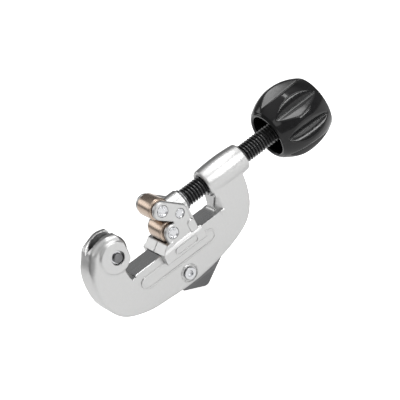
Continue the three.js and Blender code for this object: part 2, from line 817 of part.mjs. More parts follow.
const headSeat = cheekOuter - headThickness;
const nearHalf = makeSlideHalf(headSeat);
const pieces = [
  piece("frame", makeFrame(), "casting"),
  piece("cutter_wheel", makeWheel(), "hardSteel"),
  piece("wheel_pin", makeWheelPin(), "hardSteel"),
  piece("wheel_pin_clip", makeClip(), "zincSteel"),
  piece("slide_near_half", nearHalf, "casting"),
  piece("slide_far_half", mirroredY(nearHalf), "casting"),
  piece("upper_roller", makeRoller(rollerRise), "bronze"),
  piece("lower_roller", makeRoller(-rollerRise), "bronze"),
  piece("upper_roller_pin",
    makeStakedPin(rollerPinRadius, rollerPinHeadRadius, slideRest, rollerRise), "zincSteel"),
  piece("lower_roller_pin",
    makeStakedPin(rollerPinRadius, rollerPinHeadRadius, slideRest, -rollerRise), "zincSteel"),
  piece("slide_rivet",
    makeStakedPin(rivetRadius, rivetHeadRadius, slideRest + rivetOffset, 0), "zincSteel"),
  piece("feed_screw", makeFeedScrew(), "blackSteel"),
  piece("thrust_washer", makeThrustWasher(), "hardSteel"),
  piece("knob", makeKnob(), "plastic"),
  piece("knob_cross_pin", makeCrossPin(), "hardSteel"),
  piece("reamer_blade", makeBlade(), "darkBlade"),
  piece("reamer_rivet", makeBladeRivet(), "zincSteel"),
  piece("reamer_spring_washer_near", makeSpringWasher(-1), "hardSteel"),
  piece("reamer_spring_washer_far", makeSpringWasher(1), "hardSteel"),
];

const assembly = new THREE.Group();
assembly.add(...pieces);
const box = new THREE.Box3().setFromObject(assembly);
const centre = box.getCenter(new THREE.Vector3());
assembly.position.set(-centre.x, -centre.y, -box.min.z);

export default assembly;
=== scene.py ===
import math

import bmesh
import bpy
import numpy as np
from mathutils import Matrix, Vector


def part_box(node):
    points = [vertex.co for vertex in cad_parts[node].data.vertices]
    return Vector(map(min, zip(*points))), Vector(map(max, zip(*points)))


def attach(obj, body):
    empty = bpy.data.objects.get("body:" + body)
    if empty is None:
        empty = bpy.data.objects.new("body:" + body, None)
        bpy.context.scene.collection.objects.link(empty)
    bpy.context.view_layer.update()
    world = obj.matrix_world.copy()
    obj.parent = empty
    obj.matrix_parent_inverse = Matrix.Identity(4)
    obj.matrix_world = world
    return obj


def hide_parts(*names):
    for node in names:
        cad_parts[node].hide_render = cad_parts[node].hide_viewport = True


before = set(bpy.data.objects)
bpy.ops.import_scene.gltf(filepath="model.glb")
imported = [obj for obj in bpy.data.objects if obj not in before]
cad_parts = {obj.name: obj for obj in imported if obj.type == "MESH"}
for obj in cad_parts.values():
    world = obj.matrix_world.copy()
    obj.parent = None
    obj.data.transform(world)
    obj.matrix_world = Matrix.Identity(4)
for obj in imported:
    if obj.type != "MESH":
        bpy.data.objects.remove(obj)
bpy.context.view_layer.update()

# Sizes below are in millimetres from the cutting wheel's axis, x towards the knob.
wheelLow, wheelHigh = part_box("cutter_wheel")
wheelCentre = (wheelLow + wheelHigh) / 2
millimetre = 0.001


def toFrame(points):
    return np.asarray(points, float) * millimetre + np.array(wheelCentre)


def boxMm(node):
    low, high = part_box(node)
    return (low - wheelCentre) / millimetre, (high - wheelCentre) / millimetre


# distance fields for the castings
def polygonDistance(u, v, corners):
    best = None
    inside = None
    count = len(corners)
    for i in range(count):
        au, av = corners[i]
        bu, bv = corners[(i + 1) % count]
        eu, ev = bu - au, bv - av
        length = eu * eu + ev * ev
        if length < 1e-12:
            continue
        share = np.clip(((u - au) * eu + (v - av) * ev) / length, 0, 1)
        gap = (u - au - share * eu) ** 2 + (v - av - share * ev) ** 2
        best = gap if best is None else np.minimum(best, gap)
        crosses = (av <= v) != (bv <= v)
        if abs(ev) > 1e-12:
            side = u < au + (v - av) * eu / ev
            hit = crosses & side
            inside = hit if inside is None else inside ^ hit
    return np.where(inside, -1.0, 1.0) * np.sqrt(best)


def linkDistance(u, v, a, ra, b, rb):
    du, dv = b[0] - a[0], b[1] - a[1]
    h = math.hypot(du, dv)
    du, dv = du / h, dv / h
    along = (u - a[0]) * du + (v - a[1]) * dv
    across = np.abs((u - a[0]) * dv - (v - a[1]) * du)
    lean = (ra - rb) / h
    rise = math.sqrt(1 - lean * lean)
    k = -lean * across + rise * along
    start = np.hypot(across, along) - ra
    end = np.hypot(across, along - h) - rb
    flank = across * rise + along * lean - ra
    return np.where(k < 0, start, np.where(k > rise * h, end, flank))


def roundMax(a, b, r):
    return np.minimum(np.maximum(a + r, b + r), 0) + np.hypot(np.maximum(a + r, 0), np.maximum(b + r, 0)) - r


def softMax(a, b, k):
    h = np.maximum(k - np.abs(a - b), 0) / k
    return np.maximum(a, b) + h * h * k * 0.25


def softMin(a, b, k):
    return -softMax(-a, -b, k)


# the stretch of u that lies within half of a centre
def slab(u, centre, half):
    return np.abs(u - centre) - half


def cut(d, tool, k=0.25):
    return softMax(d, -tool, k)


def curveThrough(points, steps=12):
    points = [np.array(p, float) for p in points]
    made = []
    last = len(points) - 1
    for i in range(last):
        p0, p1, p2, p3 = points[max(i - 1, 0)], points[i], points[i + 1], points[min(i + 2, last)]
        m0, m1 = (p2 - p0) / 2, (p3 - p1) / 2
        for s in range(steps):
            t = s / steps
            made.append((2 * t ** 3 - 3 * t ** 2 + 1) * p1 + (t ** 3 - 2 * t ** 2 + t) * m0
                        + (-2 * t ** 3 + 3 * t ** 2) * p2 + (t ** 3 - t ** 2) * m1)
    made.append(points[-1])
    return [tuple(p) for p in made]


def bendTo(start, control, end, steps=8):
    made = []
    for s in range(1, steps + 1):
        t = s / steps
        weights = ((1 - t) ** 2, 2 * t * (1 - t), t * t)
        made.append(tuple(sum(w * p[i] for w, p in zip(weights, (start, control, end))) for i in (0, 1)))
    return made


# probe is in millimetres and stray is a share of the step, hold keeps a point near the middle of its cell,
# and facing tells the two sides of an edge apart
castingSteps = {"probe": 0.02, "stray": 0.6, "hold": 0.08, "facing": 0.86}


def castSolid(name, node, field, step):
    low, high = boxMm(node)
    low, high = low - Vector((1, 1, 1)), high + Vector((1, 1, 1))
    axes = [np.arange(low[i], high[i] + step, step) for i in range(3)]
    corner = np.array([a[0] for a in axes])
    x, y, z = axes[0][:, None, None], axes[1][None, :, None], axes[2][None, None, :]
    f = np.broadcast_to(field(x, y, z), [len(a) for a in axes]).astype(np.float32)
    f = np.where(f == 0, 1e-6, f)

    def slope(p):
        e = castingSteps["probe"]
        g = np.zeros_like(p)
        for sx, sy, sz in ((1, -1, -1), (-1, -1, 1), (-1, 1, -1), (1, 1, 1)):
            value = field(p[:, 0] + sx * e, p[:, 1] + sy * e, p[:, 2] + sz * e)
            g += np.outer(value, (sx, sy, sz))
        return g / np.maximum(np.linalg.norm(g, axis=1, keepdims=True), 1e-9)

    # every grid line that passes through the surface gives one quad between its four cells
    rings, hits = [], []
    n = np.array(f.shape)
    for axis in range(3):
        u, v = [c for c in range(3) if c != axis]
        if axis == 1:
            u, v = v, u
        a = f[tuple(slice(0, -1) if c == axis else slice(1, -1) for c in range(3))]
        b = f[tuple(slice(1, None) if c == axis else slice(1, -1) for c in range(3))]
        crossed = np.argwhere((a < 0) != (b < 0))
        start, finish = a[tuple(crossed.T)], b[tuple(crossed.T)]
        base = crossed + np.array([0 if c == axis else 1 for c in range(3)])
        hit = base.astype(float)
        hit[:, axis] += start / (start - finish)
        ring = []
        for du, dv in ((1, 1), (0, 1), (0, 0), (1, 0)):
            cell = base.copy()
            cell[:, u] -= du
            cell[:, v] -= dv
            ring.append(np.ravel_multi_index(tuple(cell.T), n))
        ring = np.stack(ring, 1)
        rings.append(np.where((start < 0)[:, None], ring, ring[:, ::-1]))
        hits.append(hit * step + corner)
    rings, hits = np.concatenate(rings), np.concatenate(hits)
    outwards = slope(hits)
    used, faces = np.unique(rings, return_inverse=True)
    faces = faces.reshape(rings.shape)

    # each point goes where the tangent planes round it meet, so edges stay crisp
    count = len(used)
    matrix, right, middle = np.zeros((count, 3, 3)), np.zeros((count, 3)), np.zeros((count, 3))
    along = (outwards * hits).sum(1)
    number = np.zeros(count)
    for k in range(4):
        at = faces[:, k]
        number += np.bincount(at, minlength=count)
        for i in range(3):
            middle[:, i] += np.bincount(at, hits[:, i], count)
            right[:, i] += np.bincount(at, outwards[:, i] * along, count)
            for j in range(3):
                matrix[:, i, j] += np.bincount(at, outwards[:, i] * outwards[:, j], count)
    middle /= number[:, None]
    hold, stray = castingSteps["hold"], castingSteps["stray"] * step
    matrix += np.eye(3) * hold
    points = np.linalg.solve(matrix, (right + hold * middle)[:, :, None])[:, :, 0]
    points = middle + np.clip(points - middle, -stray, stray)

    normals = slope(points)
    corners = normals[faces]
    overEdge = (corners * outwards[:, None, :]).sum(2) < castingSteps["facing"]
    corners = np.where(overEdge[:, :, None], outwards[:, None, :], corners)
    mesh = bpy.data.meshes.new(name)
    mesh.from_pydata(toFrame(points).tolist(), [], faces.tolist())
    mesh.update()
    mesh.polygons.foreach_set("use_smooth", [True] * len(mesh.polygons))
    mesh.normals_split_custom_set(corners.reshape(-1, 3).tolist())
    obj = bpy.data.objects.new(name, mesh)
    bpy.context.scene.collection.objects.link(obj)
    print(name, len(faces) * 2, "triangles")
    return obj


def turningTree():
    tree = bpy.data.node_groups.new("turnedPiece", "GeometryNodeTree")
    face = tree.interface
    face.new_socket("Geometry", in_out="INPUT", socket_type="NodeSocketGeometry")
    wanted = [
        ("Segments", "NodeSocketInt", 48),
        ("Flutes", "NodeSocketInt", 0),
        ("Flute Floor", "NodeSocketFloat", 1.0),
        ("Flute Slope", "NodeSocketFloat", 0.7),
        ("Flute Rise", "NodeSocketFloat", 0.0),
        ("First Flute", "NodeSocketFloat", 0.0),
        ("Flute Softness", "NodeSocketFloat", 0.001),
        ("Thread Pitch", "NodeSocketFloat", 1.0),
        ("Thread Depth", "NodeSocketFloat", 0.0),
        ("Thread Start", "NodeSocketFloat", 0.0),
        ("Thread End", "NodeSocketFloat", 0.0),
        ("Runout", "NodeSocketFloat", 0.001),
        ("Finish", "NodeSocketMaterial", None),
    ]
    for label, kind, value in wanted:
        s = face.new_socket(label, in_out="INPUT", socket_type=kind)
        if value is not None:
            s.default_value = value
    face.new_socket("Geometry", in_out="OUTPUT", socket_type="NodeSocketGeometry")
    nodes, links = tree.nodes, tree.links
    given = nodes.new("NodeGroupInput")
    out = nodes.new("NodeGroupOutput")

    def put(target, value):
        if isinstance(value, (int, float)):
            target.default_value = value
        else:
            links.new(value, target)

    def maths(kind, a, b=None, c=None):
        node = nodes.new("ShaderNodeMath")
        node.operation = kind
        for i, value in enumerate((a, b, c)):
            if value is not None:
                put(node.inputs[i], value)
        return node.outputs[0]

    count = nodes.new("GeometryNodeAttributeDomainSize")
    links.new(given.outputs["Geometry"], count.inputs[0])
    grid = nodes.new("GeometryNodeMeshGrid")
    links.new(count.outputs["Point Count"], grid.inputs["Vertices X"])
    put(grid.inputs["Vertices Y"], maths("ADD", given.outputs["Segments"], 1))
    index = nodes.new("GeometryNodeInputIndex").outputs[0]
    rows = maths("ADD", given.outputs["Segments"], 1)
    step = maths("FLOOR", maths("DIVIDE", maths("ADD", index, 0.5), rows))
    turn = maths("DIVIDE", maths("SUBTRACT", index, maths("MULTIPLY", step, rows)), given.outputs["Segments"])
    sample = nodes.new("GeometryNodeSampleIndex")
    sample.data_type = "FLOAT_VECTOR"
    links.new(given.outputs["Geometry"], sample.inputs["Geometry"])
    links.new(nodes.new("GeometryNodeInputPosition").outputs[0], sample.inputs["Value"])
    links.new(step, sample.inputs["Index"])
    split = nodes.new("ShaderNodeSeparateXYZ")
    links.new(sample.outputs[0], split.inputs[0])
    along, radius = split.outputs[0], split.outputs[2]
    angle = maths("MULTIPLY", turn, 2 * math.pi)

    flutes = maths("MAXIMUM", given.outputs["Flutes"], 1)
    fromFirst = maths("SUBTRACT", turn, given.outputs["First Flute"])
    shifted = maths("ADD", maths("MULTIPLY", fromFirst, flutes), 0.5)
    sector = maths("SUBTRACT", maths("FRACT", maths("ADD", shifted, 8)), 0.5)
    offset = maths("MULTIPLY", maths("DIVIDE", sector, flutes), 2 * math.pi)
    side = maths("MULTIPLY", maths("SINE", offset), radius)
    soft = given.outputs["Flute Softness"]
    smooth = maths("SQRT", maths("ADD", maths("MULTIPLY", side, side), maths("MULTIPLY", soft, soft)))
    foot = maths("ADD", given.outputs["Flute Floor"], maths("MULTIPLY", along, given.outputs["Flute Rise"]))
    wall = maths("ADD", foot, maths("MULTIPLY", smooth, given.outputs["Flute Slope"]))
    fluted = maths("SMOOTH_MIN", radius, wall, soft)
    useFlutes = maths("GREATER_THAN", given.outputs["Flutes"], 0.5)
    shaped = maths("ADD", radius, maths("MULTIPLY", useFlutes, maths("SUBTRACT", fluted, radius)))

    phase = maths("FRACT", maths("SUBTRACT", maths("DIVIDE", along, given.outputs["Thread Pitch"]), turn))
    ridge = maths("ABSOLUTE", maths("SUBTRACT", maths("MULTIPLY", phase, 2), 1))
    ramp = nodes.new("ShaderNodeMapRange")
    ramp.interpolation_type = "SMOOTHSTEP"
    links.new(ridge, ramp.inputs["Value"])
    ramp.inputs["From Min"].default_value = 0.25
    ramp.inputs["From Max"].default_value = 0.95
    fadeIn = maths("DIVIDE", maths("SUBTRACT", along, given.outputs["Thread Start"]), given.outputs["Runout"])
    fadeOut = maths("DIVIDE", maths("SUBTRACT", given.outputs["Thread End"], along), given.outputs["Runout"])
    fade = maths("MAXIMUM", maths("MINIMUM", maths("MINIMUM", fadeIn, fadeOut), 1), 0)
    valley = maths("MULTIPLY", maths("SUBTRACT", 1, ramp.outputs[0]), fade)
    groove = maths("MULTIPLY", valley, given.outputs["Thread Depth"])
    reach = maths("SUBTRACT", shaped, groove)

    join = nodes.new("ShaderNodeCombineXYZ")
    links.new(along, join.inputs[0])
    links.new(maths("MULTIPLY", maths("COSINE", angle), reach), join.inputs[1])
    links.new(maths("MULTIPLY", maths("SINE", angle), reach), join.inputs[2])
    move = nodes.new("GeometryNodeSetPosition")
    links.new(grid.outputs[0], move.inputs[0])
    links.new(join.outputs[0], move.inputs["Position"])
    weld = nodes.new("GeometryNodeMergeByDistance")
    links.new(move.outputs[0], weld.inputs[0])
    weld.inputs["Distance"].default_value = 2e-6
    real = nodes.new("GeometryNodeRealizeInstances")
    links.new(weld.outputs[0], real.inputs[0])
    paint = nodes.new("GeometryNodeSetMaterial")
    links.new(real.outputs[0], paint.inputs[0])
    links.new(given.outputs["Finish"], paint.inputs["Material"])
    links.new(paint.outputs[0], out.inputs[0])
    return tree


turning = turningTree()


def softened(profile, radius, steps=3):
    made = [profile[0]]
    for before, here, after in zip(profile, profile[1:], profile[2:]):
        b, h, a = Vector(before), Vector(here), Vector(after)
        r = min(radius, (b - h).length * 0.45, (a - h).length * 0.45)
        if r < 1e-4 or here[0] < 1e-6:
            made.append(here)
            continue
        start, end = h + (b - h).normalized() * r, h + (a - h).normalized() * r
        for s in range(steps + 1):
            t = s / steps
            p = start * (1 - t) ** 2 + h * 2 * t * (1 - t) + end * t * t
            made.append((p[0], p[1]))
    made.append(profile[-1])
    return made


def turned(name, profile, finish, axis="y", centre=(0, 0, 0), edge=0.15, sharp=32, **inputs):
    points = softened(profile, edge)
    mesh = bpy.data.meshes.new(name)
    mesh.from_pydata([(along * millimetre, 0, radius * millimetre) for radius, along in points], [], [])
    obj = bpy.data.objects.new(name, mesh)
    bpy.context.scene.collection.objects.link(obj)
    modifier = obj.modifiers.new("turning", "NODES")
    modifier.node_group = turning
    chosen = {"Segments": 48, "Finish": finish, **inputs}
    for item in turning.interface.items_tree:
        if item.item_type == "SOCKET" and item.in_out == "INPUT" and item.name in chosen:
            modifier[item.identifier] = chosen[item.name]
    bpy.context.view_layer.update()
    made = bpy.data.meshes.new_from_object(obj.evaluated_get(bpy.context.evaluated_depsgraph_get()))
    obj.modifiers.remove(modifier)
    if axis == "y":
        made.transform(Matrix.Rotation(math.pi / 2, 4, "Z"))
    elif axis == "z":
        made.transform(Matrix.Rotation(-math.pi / 2, 4, "Y"))
    made.transform(Matrix.Translation(Vector(toFrame(centre))))
    obj.data = made
    closeUp(obj, sharp)
    return obj


def closeUp(obj, sharp=32):
    work = bmesh.new()
    work.from_mesh(obj.data)
    bmesh.ops.remove_doubles(work, verts=work.verts, dist=1e-6)
    bmesh.ops.dissolve_degenerate(work, edges=work.edges, dist=1e-7)
    bmesh.ops.recalc_face_normals(work, faces=work.faces)
    if work.calc_volume(signed=True) < 0:
        bmesh.ops.reverse_faces(work, faces=work.faces)
    work.to_mesh(obj.data)
    work.free()
    obj.data.polygons.foreach_set("use_smooth", [True] * len(obj.data.polygons))
    obj.data.set_sharp_from_angle(angle=math.radians(sharp))
    obj.data.update()


def platePiece(name, corners, fromY, toY, finish, bevel=0.12, segments=2):
    work = bmesh.new()
    face = work.faces.new([work.verts.new(toFrame((x, fromY, z))) for x, z in corners])
    made = bmesh.ops.extrude_face_region(work, geom=[face])
    moved = [v for v in made["geom"] if isinstance(v, bmesh.types.BMVert)]
    bmesh.ops.translate(work, verts=moved, vec=(0, (toY - fromY) * millimetre, 0))
    bmesh.ops.recalc_face_normals(work, faces=work.faces)
    mesh = bpy.data.meshes.new(name)
    work.to_mesh(mesh)
    work.free()
    obj = bpy.data.objects.new(name, mesh)
    bpy.context.scene.collection.objects.link(obj)
    mesh.materials.append(finish)
    if bevel:
        m = obj.modifiers.new("edge", "BEVEL")
        m.width, m.segments = bevel * millimetre, segments
        m.limit_method, m.angle_limit = "ANGLE", math.radians(35)
        obj.data = bpy.data.meshes.new_from_object(obj.evaluated_get(bpy.context.evaluated_depsgraph_get()))
        obj.modifiers.clear()
    closeUp(obj)
    return obj


def handOver(obj, node, body):
    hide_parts(node)
    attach(obj, body)
    return obj


# finishes
finishes = {
    "satinCasting": {
        "color": (0.535, 0.535, 0.532), "roughness": 0.36, "metallic": 1.0,
        "stretch": (1, 1, 1), "scale": 900, "detail": 3, "colorSpread": 0.02, "roughSpread": 0.03,
        "bump": 0.06, "depth": 0.00002},
    "machinedRail": {
        "color": (0.72, 0.725, 0.73), "roughness": 0.24, "metallic": 1.0,
        "stretch": (12, 400, 400), "scale": 9, "detail": 2, "colorSpread": 0.03, "roughSpread": 0.03,
        "bump": 0.05, "depth": 0.00002},
    "zincPlate": {
        "color": (0.60, 0.605, 0.62), "roughness": 0.24, "metallic": 1.0,
        "stretch": (1, 1, 1), "scale": 1200, "detail": 2, "colorSpread": 0.03, "roughSpread": 0.04,
        "bump": 0.08, "depth": 0.00003},
    "hardSteel": {
        "color": (0.17, 0.17, 0.174), "roughness": 0.34, "metallic": 1.0,
        "stretch": (1, 1, 1), "scale": 700, "detail": 3, "colorSpread": 0.12, "roughSpread": 0.06,
        "bump": 0.1, "depth": 0.00003},
    "turnedBronze": {
        "color": (0.50, 0.40, 0.325), "roughness": 0.27, "metallic": 1.0,
        "stretch": (60, 900, 60), "scale": 6, "detail": 2, "colorSpread": 0.04, "roughSpread": 0.02,
        "bump": 0.04, "depth": 0.00002},
    "blackOxide": {
        "color": (0.03, 0.03, 0.031), "roughness": 0.22, "metallic": 0.5,
        "stretch": (1, 1, 1), "scale": 800, "detail": 3, "colorSpread": 0.25, "roughSpread": 0.04,
        "bump": 0.08, "depth": 0.00003},
    "heatTreated": {
        "color": (0.15, 0.15, 0.153), "roughness": 0.40, "metallic": 0.7,
        "stretch": (8, 300, 300), "scale": 7, "detail": 3, "colorSpread": 0.2, "roughSpread": 0.08,
        "bump": 0.15, "depth": 0.00003},
    "mouldedPlastic": {
        "color": (0.006, 0.006, 0.0065), "roughness": 0.12, "metallic": 0.0,
        "stretch": (1, 1, 1), "scale": 500, "detail": 3, "colorSpread": 0.2, "roughSpread": 0.03,
        "bump": 0.05, "depth": 0.00004, "specular": 0.32}}
noiseLow, noiseHigh = 0.3, 0.7  # the part of the noise's range that is used


def makeFinish(name):
    wanted = finishes[name]
    material = bpy.data.materials.new(name)
    material.use_nodes = True
    nodes, links = material.node_tree.nodes, material.node_tree.links
    shader = nodes["Principled BSDF"]
    shader.inputs["Metallic"].default_value = wanted["metallic"]
    shader.inputs["Specular IOR Level"].default_value = wanted.get("specular", 0.5)
    place = nodes.new("ShaderNodeTexCoord")
    stretch = nodes.new("ShaderNodeMapping")
    stretch.inputs["Scale"].default_value = wanted["stretch"]
    links.new(place.outputs["Object"], stretch.inputs["Vector"])
    noise = nodes.new("ShaderNodeTexNoise")
    noise.inputs["Scale"].default_value = wanted["scale"]
    noise.inputs["Detail"].default_value = wanted["detail"]
    links.new(stretch.outputs[0], noise.inputs["Vector"])

    tint = nodes.new("ShaderNodeValToRGB")
    for element, position, spread in zip(tint.color_ramp.elements, (noiseLow, noiseHigh), (-1, 1)):
        element.position = position
        element.color = [min(1, c * (1 + spread * wanted["colorSpread"])) for c in wanted["color"]] + [1]
    links.new(noise.outputs[0], tint.inputs[0])
    links.new(tint.outputs[0], shader.inputs["Base Color"])

    rough = nodes.new("ShaderNodeMapRange")
    rough.inputs["From Min"].default_value, rough.inputs["From Max"].default_value = noiseLow, noiseHigh
    rough.inputs["To Min"].default_value = wanted["roughness"] - wanted["roughSpread"]
    rough.inputs["To Max"].default_value = wanted["roughness"] + wanted["roughSpread"]
    links.new(noise.outputs[0], rough.inputs["Value"])
    links.new(rough.outputs[0], shader.inputs["Roughness"])

    relief = nodes.new("ShaderNodeBump")
    relief.inputs["Strength"].default_value = wanted["bump"]
    relief.inputs["Distance"].default_value = wanted["depth"]
    links.new(noise.outputs[0], relief.inputs["Height"])
    links.new(relief.outputs[0], shader.inputs["Normal"])
    return material


satinCasting = makeFinish("satinCasting")
machinedRail = makeFinish("machinedRail")
zincPlate = makeFinish("zincPlate")
hardSteel = makeFinish("hardSteel")
turnedBronze = makeFinish("turnedBronze")
blackOxide = makeFinish("blackOxide")
heatTreated = makeFinish("heatTreated")
mouldedPlastic = makeFinish("mouldedPlastic")
print("finishes ready")


# frame: one casting with hook, spine, rail, post and barrel
frameSizes = {
    "half": 6.5, "edge": 2.0, "hookEdge": 3.6, "hookRadius": 11.45, "backX": -16.85,
    "railTop": -13.8, "railStart": 3.7, "railEnd": 53.49, "spineDepth": 23.4, "postBack": 76.39,
    "barrelLow": 56.59, "barrelHigh": 81.29, "barrelRadius": 7.7, "barrelTaper": 0.75, "barrelEdge": 1.2,
    "screwBore": 5.06, "boreStart": 52.6, "boreChamfer": 0.8,
    "wheelRoom": 10.55, "slotHalf": 2.5, "pinBore": 2.7, "counterbore": 3.5,
    "clipSeat": -4.7, "headSeat": 5.7,
    "bossX": -0.7, "bossZ": 0.4, "bossRadius": 7.6, "bossHalf": 7.3, "bossFillet": 2.0, "bossTrim": 5.7,
    "badgeStart": 7.5, "badgeEnd": 46.2, "badgeZ": -20.9, "badgeRadius": 3.3,
    "badgePanel": 6.7, "badgeRim": 7.0,
    "pivotX": 28.6, "pivotZ": -30.9, "pivotPad": 4.6, "padHalf": 7.0, "bladeRoom": 11.5, "bladeSlotHalf": 1.9,
    "rivetHole": 2.5, "rivetBore": 3.3, "rivetBoreFrom": 5.9, "rivetSeat": 4.0, "rivetSeatFrom": 6.4,
    "mesh": 0.45}
hookRadius, backX = frameSizes["hookRadius"], frameSizes["backX"]
railTop, railEnd, postBack = frameSizes["railTop"], frameSizes["railEnd"], frameSizes["postBack"]
railStart, wheelRoom = frameSizes["railStart"], frameSizes["wheelRoom"]
barrelLow, barrelHigh = frameSizes["barrelLow"], frameSizes["barrelHigh"]
pivotX, pivotZ = frameSizes["pivotX"], frameSizes["pivotZ"]
spineBottom = railTop - frameSizes["spineDepth"]

outerEdge = curveThrough([
    (0.41 * hookRadius, 0.91 * hookRadius), (-1, hookRadius), (-9, 0.82 * hookRadius), (backX + 4.6, 5.4),
    (backX + 1.4, -1), (backX, railTop + 2.8), (backX + 1.4, railTop - 7), (backX + 7.2, spineBottom + 7.6),
    (2, spineBottom + 2.4), (14.4, spineBottom + 0.8), (pivotX, spineBottom), (railEnd - 12, spineBottom + 1),
    (railEnd + 2, spineBottom + 3.9), (postBack - 9.8, spineBottom + 8.6),
    (postBack - 3.7, spineBottom + 15.7), (postBack - 0.9, railTop + 0.8), (postBack, -5)], 8)
innerEdge = [(postBack, 0), (58.09, 0), (57.59, -6.95), (railEnd + 2.6, railTop + 2.4)]
innerEdge += bendTo((railEnd + 2.6, railTop + 2.4), (railEnd + 2.2, railTop), (railEnd, railTop), 6)
innerEdge += [(railStart, railTop), (railStart, railTop - 1), (1.8, railTop - 1)]
innerEdge += bendTo((1.8, railTop - 1), (0.9, railTop + 0.6), (0.9, -8.6))
innerEdge += bendTo((0.9, -8.6), (0.9, -6.4), (2.6, -5.4))
innerEdge += bendTo((2.6, -5.4), (6.2, -3.4), (6.2, 0)) + [(6.2, 4)]
sideShape = outerEdge + innerEdge
closedShape = outerEdge + [(postBack, 46), (9.2, 46)]
slotFloor = -0.57 * wheelRoom
slotMouth = [(backX + 3, 8.4), (-0.82 * wheelRoom, slotFloor), (10.2, slotFloor), (10.2, 23), (backX, 23)]
bladeMouth = [
    (pivotX - 16.1, spineBottom - 1), (pivotX - 16.1, pivotZ - 4), (pivotX - 12.0, pivotZ + 3),
    (pivotX, pivotZ + 5.4), (railEnd + 5.5, spineBottom + 5.6), (railEnd + 5.5, spineBottom - 1)]


def barrelField(x, fromAxis):
    middle, half = (barrelLow + barrelHigh) / 2, (barrelHigh - barrelLow) / 2
    share = (x - middle) / half
    belly = frameSizes["barrelRadius"] - frameSizes["barrelTaper"] * share * share
    return roundMax(fromAxis - belly, np.abs(x - middle) - half, frameSizes["barrelEdge"])


def screwHole(x, fromAxis):
    chamfer = frameSizes["boreChamfer"]
    flare = np.maximum(barrelLow + chamfer - x, 0) + np.maximum(x - barrelHigh + chamfer, 0)
    return np.maximum(fromAxis - frameSizes["screwBore"] - flare, frameSizes["boreStart"] - x)


# the slot narrows to a point where it runs out of the hook's back
def wheelSlot(x, aside, z, wheelAxis):
    beyondWheel = np.clip((-4 - x) / 6, 0, 1) * np.clip((wheelAxis - 9.6) / 1.6, 0, 1)
    taper = beyondWheel * (1 - np.clip((z - 6.8) / 3.4, -0.1, 1))
    opening = np.minimum(wheelAxis - wheelRoom, polygonDistance(x, z, slotMouth))
    return np.maximum(opening, aside - frameSizes["slotHalf"] * (1 - taper))


def withBadge(d, x, aside, z):
    radius, height = frameSizes["badgeRadius"], frameSizes["badgeZ"]
    start, end = (frameSizes["badgeStart"], height), (frameSizes["badgeEnd"], height)
    badge = linkDistance(x, z, start, radius, end, radius)
    d = softMin(d, np.maximum(badge, aside - frameSizes["badgePanel"]), 0.08)
    return softMin(d, roundMax(np.abs(badge + 0.4) - 0.4, aside - frameSizes["badgeRim"], 0.12), 0.08)


def frameField(x, y, z):
    sizes = frameSizes
    aside, fromAxis = np.abs(y), np.hypot(y, z)
    wheelAxis, pivot = np.hypot(x, z), np.hypot(x - pivotX, z - pivotZ)
    hook = np.clip((6 - np.hypot(x + 9, (z - 5) * 0.8)) / 8 + 0.6, 0, 1)
    edge = sizes["edge"] + (sizes["hookEdge"] - sizes["edge"]) * hook * hook * (3 - 2 * hook)
    d = roundMax(polygonDistance(x, z, closedShape), aside - sizes["half"], edge)
    d = softMax(d, polygonDistance(x, z, sideShape), 0.7)
    d = softMin(d, barrelField(x, fromAxis), 0.25)
    boss = np.hypot(x - sizes["bossX"], z - sizes["bossZ"]) - sizes["bossRadius"]
    boss = softMax(roundMax(boss, aside - sizes["bossHalf"], 0.35), x - sizes["bossTrim"], 0.4)
    d = softMin(d, boss, sizes["bossFillet"])
    d = withBadge(d, x, aside, z)
    d = softMin(d, roundMax(pivot - sizes["pivotPad"], aside - sizes["padHalf"], 0.25), 0.3)
    d = cut(d, wheelSlot(x, aside, z, wheelAxis), 0.3)
    d = cut(d, wheelAxis - sizes["pinBore"])
    d = cut(d, np.maximum(wheelAxis - sizes["counterbore"], y - sizes["clipSeat"]))
    d = cut(d, np.maximum(wheelAxis - sizes["counterbore"], sizes["headSeat"] - y))
    d = cut(d, screwHole(x, fromAxis))
    # slanted sides on the post between the rail and the barrel, then a shallow band along the rail's sides
    slant = (np.abs(x - railEnd - 2.6) + (sizes["half"] - aside) - 3.2) * 0.7071
    d = cut(d, np.maximum(np.maximum(slant, z + 6.95), railTop - z), 0.6)
    band = np.maximum(np.maximum(6.3 - aside, slab(x, 30.95, 25.95)), slab(z - railTop, -0.95, 1.95))
    d = cut(d, band, 0.12)
    blade = np.minimum(pivot - sizes["bladeRoom"], polygonDistance(x, z, bladeMouth))
    d = cut(d, np.maximum(blade, aside - sizes["bladeSlotHalf"]), 0.3)
    d = cut(d, pivot - sizes["rivetHole"])
    d = cut(d, np.maximum(pivot - sizes["rivetBore"], sizes["rivetBoreFrom"] - aside))
    return cut(d, np.maximum(pivot - sizes["rivetSeat"], sizes["rivetSeatFrom"] - aside), 0.15)


frameCasting = castSolid("frameCasting", "frame", frameField, frameSizes["mesh"])
frameCasting.data.materials.append(satinCasting)
frameCasting.data.materials.append(machinedRail)
for polygon in frameCasting.data.polygons:
    centre = (polygon.center - wheelCentre) / millimetre
    if polygon.normal.z > 0.85 and abs(centre.z - railTop) < 0.6 and 1.5 < centre.x < railEnd + 0.5:
        polygon.material_index = 1
handOver(frameCasting, "frame", "frame")
print("frame done")


